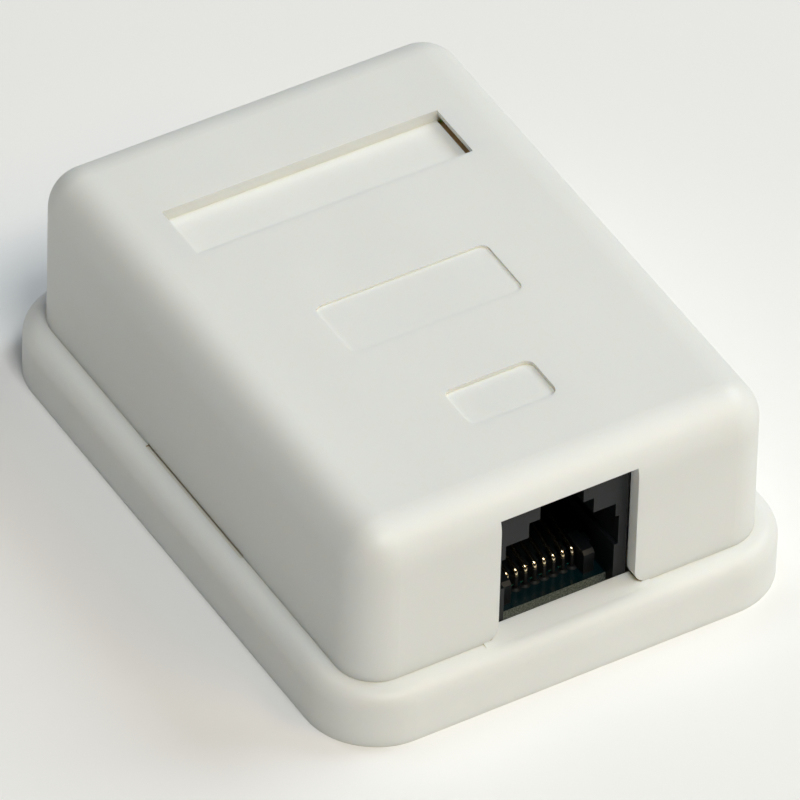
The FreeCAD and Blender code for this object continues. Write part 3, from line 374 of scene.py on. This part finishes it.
def lathe(shape, profile, centre, steps):
    """Turns a closed (radius, height) profile about an upright axis, in millimetres."""
    rings = []
    for k in range(steps):
        angle = 2 * math.pi * k / steps
        rings.append([shape.verts.new(((centre[0] + r * math.cos(angle)) * MM,
                                       (centre[1] + r * math.sin(angle)) * MM,
                                       (centre[2] + z) * MM)) for r, z in profile])
    for k in range(steps):
        first, second = rings[k], rings[(k + 1) % steps]
        for j in range(len(profile)):
            following = (j + 1) % len(profile)
            shape.faces.new((first[j], second[j], second[following], first[following]))


def smooth(thing, degrees):
    """Shades a piece smooth, with edges sharper than an angle kept."""
    for polygon in thing.data.polygons:
        polygon.use_smooth = True
    thing.data.set_sharp_from_angle(angle=math.radians(degrees))


# ---------------------------------------------------------------- round contact wires
# from here to the stage, named lengths are in millimetres

WIRE_WIDTH = 0.42
WIRE_THICKNESS = 0.34
WIRE_RISE = 0.25          # rise of the spring for each millimetre along Y
WIRE_BEND = 0.55          # radius of the bend's centre line
WIRE_END = 0.72           # share of the section that is left at the two ends
BEND_STEPS = 10
WIRE_SIDES = 20
WIRE_SMOOTHING = 50       # degrees

contact_boxes = [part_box("jack_contact_%d" % (i + 1)) for i in range(8)]


def wire_path(low, high):
    """Centre line of a contact as (y, z) points: up its leg, round its bend and on to its tip."""
    half = WIRE_THICKNESS / 2
    y, tip = low.y / MM + half, high.y / MM
    slope = math.atan(WIRE_RISE)
    end = high.z / MM - half
    crest = end - WIRE_RISE * (tip - y)
    reach = WIRE_BEND * math.tan((math.pi / 2 - slope) / 2)
    points = [(y, low.z / MM), (y, (low.z / MM + crest - reach) / 2), (y, crest - reach)]
    for k in range(1, BEND_STEPS + 1):
        angle = (math.pi / 2 - slope) * k / BEND_STEPS
        points.append((y + WIRE_BEND * (1 - math.cos(angle)),
                       crest - reach + WIRE_BEND * math.sin(angle)))
    points.append((tip, end))
    return points


def sweep_wire(name, low, high, body):
    """An oval wire along its centre line, tapering to both ends."""
    shape = bmesh.new()
    x = (low.x + high.x) / 2 / MM
    path = [Vector(p) for p in wire_path(low, high)]
    rings = []
    last = len(path) - 1
    for i, point in enumerate(path):
        ahead = (path[min(i + 1, last)] - path[max(i - 1, 0)]).normalized()
        out = Vector((-ahead.y, ahead.x))
        share = WIRE_END if i in (0, last) else 1.0
        ring = []
        for k in range(WIRE_SIDES):
            angle = 2 * math.pi * k / WIRE_SIDES
            side = WIRE_WIDTH / 2 * math.cos(angle) * share
            lift = out * (WIRE_THICKNESS / 2 * math.sin(angle) * share)
            ring.append(shape.verts.new(((x + side) * MM, (point.x + lift.x) * MM,
                                         (point.y + lift.y) * MM)))
        rings.append(ring)
    skin(shape, rings)
    bmesh.ops.recalc_face_normals(shape, faces=shape.faces[:])
    wire = settle(name, shape, GOLD, body)
    smooth(wire, WIRE_SMOOTHING)
    return wire


for i, (low, high) in enumerate(contact_boxes):
    wire = sweep_wire("contact_wire_%d" % (i + 1), low, high, "contact_%d" % (i + 1))
    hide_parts("jack_contact_%d" % (i + 1))


# ---------------------------------------------------------------- traces, pads and outlines

COPPER_WIDTH = 0.34
COPPER_HEIGHT = 0.035
OUTER_LANE = 6.2          # outermost trace from the middle of the board
LANE_PITCH = 0.85
FIRST_TURN = 0.9          # nearest turn behind the socket's housing
TURN_PITCH = 0.5
FORK_TURN = 1.0           # slanting corner before a fork
PAD_PROFILE = [(0.20, 0.0), (0.49, 0.0), (0.49, 0.03), (0.33, 0.07), (0.20, 0.18)]
PAD_STEPS = 20
PAD_SMOOTHING = 40        # degrees
INK_WIDTH = 0.18
INK_HEIGHT = 0.02
BLOCK_MARGIN = 0.4        # outline round a punch-down block
SOCKET_MARGIN = 0.35      # outline round the rear of the socket
SOCKET_OUTLINE_START = 16.2   # its ends, from the board's front edge

board_low, board_high = (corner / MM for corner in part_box("circuit_board"))
board_top = board_high.z
housing_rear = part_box("jack_housing")[1].y / MM
contact_x = [(low.x + high.x) / 2 / MM for low, high in contact_boxes]
leg_y = contact_boxes[0][0].y / MM + WIRE_THICKNESS / 2
forks = {}
for side in ("left", "right"):
    for i in range(4):
        low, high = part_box("wire_fork_%s_%d" % (side, i + 1))
        forks[side, i] = ((low.x + high.x) / 2 / MM, (low.y + high.y) / 2 / MM)


def masked_copper():
    """Traces under the solder mask: the mask's green, lighter where copper lies below."""
    n = Nodes("masked_copper")
    patch = n.noise(500.0, 3.0, 0.5)
    n.link(n.ramp(patch, [(0.3, linear(22, 98, 84)), (0.7, linear(30, 112, 96))]),
           n.shader.inputs["Base Color"])
    n.link(n.spread(patch, 0.3, 0.7, 0.22, 0.30), n.shader.inputs["Roughness"])
    n.link(n.bump(n.noise(2600.0, 2.0, 0.5), 0.10, 0.00001), n.shader.inputs["Normal"])
    n.set(IOR=1.5)
    return n.material


def silk_ink():
    """White screened ink, slightly rough and patchy."""
    n = Nodes("silk_ink")
    patch = n.noise(2200.0, 4.0, 0.6)
    n.link(n.ramp(patch, [(0.35, linear(206, 210, 204)), (0.65, linear(232, 234, 228))]),
           n.shader.inputs["Base Color"])
    n.link(n.spread(patch, 0.3, 0.7, 0.55, 0.70), n.shader.inputs["Roughness"])
    n.link(n.bump(patch, 0.2, 0.00001), n.shader.inputs["Normal"])
    return n.material


def trace_paths():
    """From each contact back under the socket, along a lane, out to its fork."""
    paths = []
    for i, x in enumerate(contact_x):
        side = "left" if i < 4 else "right"
        sign = -1 if i < 4 else 1
        order = i if i < 4 else 7 - i
        fork_x, fork_y = forks[side, order]
        lane = sign * (OUTER_LANE - LANE_PITCH * order)
        turn = housing_rear + FIRST_TURN + TURN_PITCH * (3 - order)
        paths.append([(x, leg_y), (x, turn - abs(lane - x)), (lane, turn),
                      (lane, fork_y - FORK_TURN), (lane + sign * FORK_TURN, fork_y),
                      (fork_x, fork_y)])
    return paths


lay_strips("board_traces", trace_paths(), COPPER_WIDTH, board_top, COPPER_HEIGHT,
           masked_copper(), "base")

pads = bmesh.new()
for x in contact_x:
    lathe(pads, PAD_PROFILE, (x, leg_y, board_top), PAD_STEPS)
# the pads take the solder painted dark as painted shade
smooth(settle("board_pads", pads, PAINTED_SHADE_SOLDER, "base"), PAD_SMOOTHING)


def outline_round(low, high, margin):
    """A closed path round a box seen from above, at a margin."""
    left, front = low.x - margin, low.y - margin
    right, rear = high.x + margin, high.y + margin
    return [(left, front), (right, front), (right, rear), (left, rear), (left, front)]


silk = []
for side in ("left", "right"):
    low, high = (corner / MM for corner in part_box("punch_block_" + side))
    silk.append(outline_round(low, high, BLOCK_MARGIN))
low, high = (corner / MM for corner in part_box("jack_housing"))
left, right, rear = low.x - SOCKET_MARGIN, high.x + SOCKET_MARGIN, high.y + SOCKET_MARGIN
ends = board_low.y + SOCKET_OUTLINE_START
silk.append([(left, ends), (left, rear), (right, rear), (right, ends)])
lay_strips("board_silk", silk, INK_WIDTH, board_top, INK_HEIGHT, silk_ink(), "base")


# ---------------------------------------------------------------- fillings of the narrow slots

# Empty, these slots render black. In the photo they are shallow brown lines, so a ledge stands in
# each prising slot and a floor in each end slot of the label recess. Sections are (x, z) points.

PRISING_START = -9.55
PRISING_END = 8.15
PRISING_SECTION = [(21.4, 5.5), (22.66, 5.5), (22.66, 5.96), (22.26, 6.0), (22.2, 6.31), (21.4, 6.31)]
LABEL_START = 12.15
LABEL_END = 18.65
LABEL_SECTION = [(15.03, 21.9), (16.32, 21.9), (16.32, 22.22), (15.03, 22.22)]
TOP_SLOPE = math.radians(0.87)   # the cover's top rises towards its rear


def bar_along_y(name, section, start, end, slope, side, material, body):
    """A bar of one (x, z) section between two places along Y, on one side of the box."""
    shape = bmesh.new()
    rings = [[shape.verts.new((side * x * MM, y * MM, (z + (y - start) * math.tan(slope)) * MM))
              for x, z in section] for y in (start, end)]
    skin(shape, rings)
    bmesh.ops.recalc_face_normals(shape, faces=shape.faces[:])
    settle(name, shape, material, body)


for side_name, side in (("left", -1), ("right", 1)):
    bar_along_y("slot_ledge_" + side_name, PRISING_SECTION, PRISING_START, PRISING_END, 0.0,
                side, WHITE, "base")
    # the label slot floors are painted warm brown as painted shade
    bar_along_y("label_slot_floor_" + side_name, LABEL_SECTION, LABEL_START, LABEL_END, TOP_SLOPE,
                side, PAINTED_SHADE_WHITE, "cover")


# ---------------------------------------------------------------- stage, lights and camera
# from here on, lengths are in metres

LIGHTS_AIM = Vector((0, 0, 0.01))


def make_floor():
    """A plain pale floor that fills the picture."""
    mesh = bpy.data.meshes.new("floor")
    half = 3.0
    mesh.from_pydata([(-half, -half, 0), (half, -half, 0), (half, half, 0), (-half, half, 0)],
                     [], [(0, 1, 2, 3)])
    floor = bpy.data.objects.new("floor", mesh)
    scene.collection.objects.link(floor)
    n = Nodes("floor_paper")
    n.link(n.ramp(n.noise(8.0, 2.0), [(0.3, linear(246, 246, 245)), (0.7, linear(249, 249, 248))]),
           n.shader.inputs["Base Color"])
    n.set(Roughness=0.9)
    mesh.materials.append(n.material)


def soft_light(name, place, size, power, colour):
    """A square area light that faces the object."""
    data = bpy.data.lights.new(name, "AREA")
    data.size = size
    data.energy = power
    data.color = colour
    light = bpy.data.objects.new(name, data)
    light.location = place
    light.rotation_euler = (LIGHTS_AIM - Vector(place)).to_track_quat("-Z", "Y").to_euler()
    scene.collection.objects.link(light)


make_floor()
soft_light("front", (-0.10, -0.80, 1.40), 0.5, 11.0, (1.0, 0.995, 0.955))
soft_light("front_right", (0.60, -0.95, 1.15), 0.6, 5.2, (1.0, 0.79, 0.53))
soft_light("right", (1.10, -0.10, 1.10), 0.8, 9.9, (0.83, 0.93, 1.0))
soft_light("overhead", (-0.10, 0.35, 1.50), 0.3, 3.0, (0.92, 0.96, 1.0))
world = bpy.data.worlds.new("studio")
world.use_nodes = True
background = world.node_tree.nodes["Background"]
background.inputs["Color"].default_value = (1.0, 1.0, 1.0, 1.0)
background.inputs["Strength"].default_value = 0.02
scene.world = world

camera_data = bpy.data.cameras.new("camera")
camera_data.sensor_width = 36.0
camera_data.lens = 510.2
camera_data.clip_start = 0.05
camera = bpy.data.objects.new("camera", camera_data)
right = Vector((0.8591520, -0.5112016, 0.0230385))
above = Vector((0.3282278, 0.5850587, 0.7416015))
back = Vector((-0.3925867, -0.6295865, 0.6704450))
camera.matrix_world = (Matrix.Translation((-0.41929, -0.67282, 0.72472))
                       @ Matrix((right, above, back)).transposed().to_4x4())
scene.collection.objects.link(camera)
scene.camera = camera
scene.view_settings.view_transform = "Standard"
